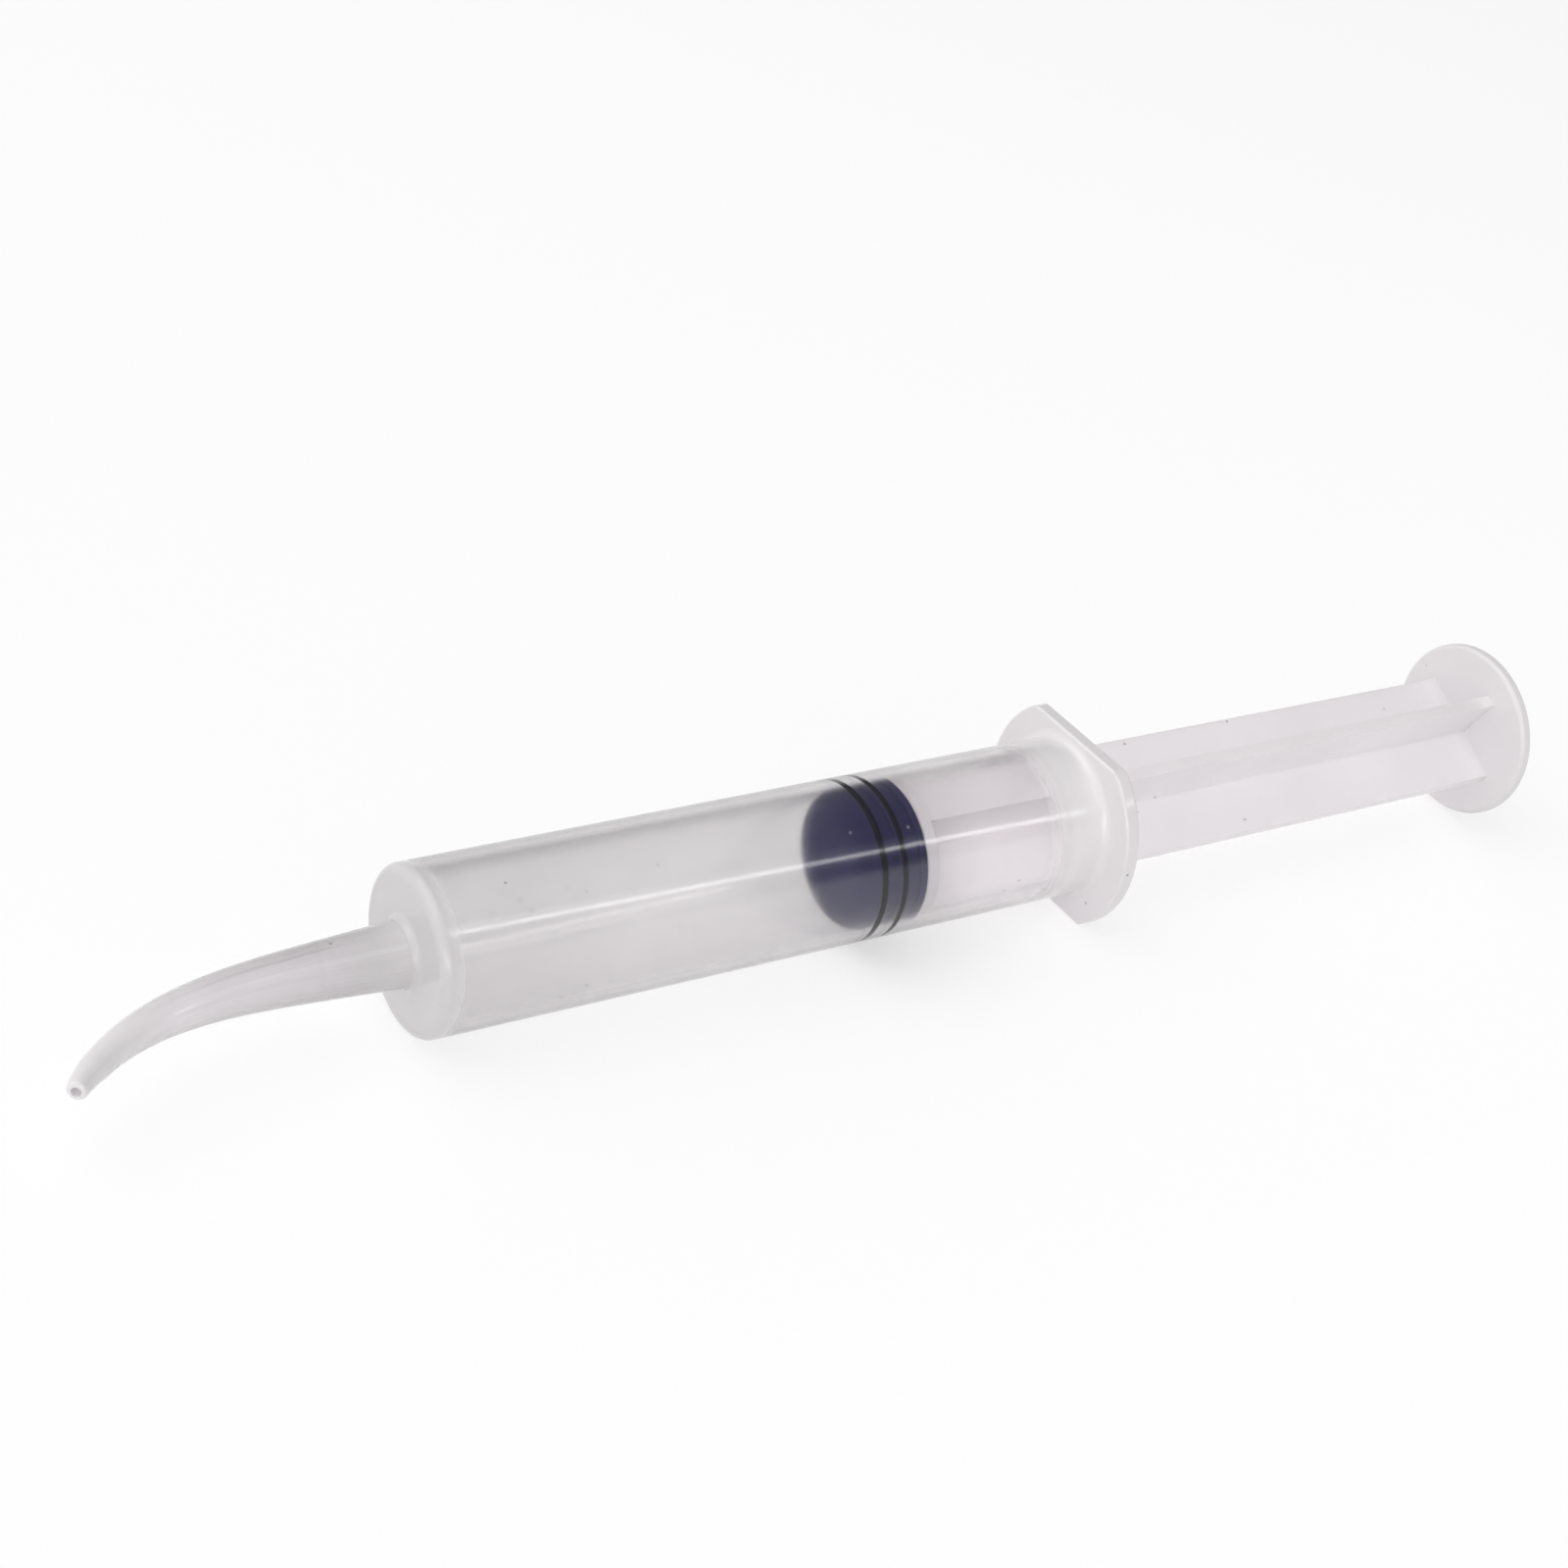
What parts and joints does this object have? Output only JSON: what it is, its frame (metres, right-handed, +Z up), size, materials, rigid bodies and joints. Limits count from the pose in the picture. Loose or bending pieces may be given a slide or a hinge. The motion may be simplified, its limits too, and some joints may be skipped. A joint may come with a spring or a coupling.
{
  "type": "curved tip syringe",
  "caption": "Plastic syringe lying on its side, with a tapered curved tip moulded on the barrel, a ribbed rubber seal and a cross-section plunger that slides and turns.",
  "frame": {"origin": "on the resting surface, under the middle of the whole length and on the syringe's middle plane", "axes": "+X along the syringe towards the thumb disc, +Z up from the resting surface, and the tip curves towards -Y"},
  "size_m": [0.1792, 0.0246, 0.0212],
  "materials": {
    "barrel_plastic": "smooth, milky translucent polypropylene",
    "seal_rubber": "satin dark navy rubber",
    "rod_plastic": "smooth, milky translucent polypropylene with a faint violet tint"
  },
  "bodies": {
    "barrel": {"barrel": "barrel_plastic"},
    "seal": {"piston_seal": "seal_rubber"},
    "rod": {"plunger_rod": "rod_plastic"}
  },
  "joints": [
    {"name": "plunger_slide", "type": "slide", "parent": "barrel", "child": "seal", "axis": [0.9999, 0, 0.0147], "range_m": [-0.04795, 0.01842]},
    {"name": "rod_swivel", "type": "hinge", "parent": "seal", "child": "rod", "pos_m": [-0.00298, 0, 0.00947], "axis": [0.9999, 0, 0.0147], "continuous": true}
  ]
}
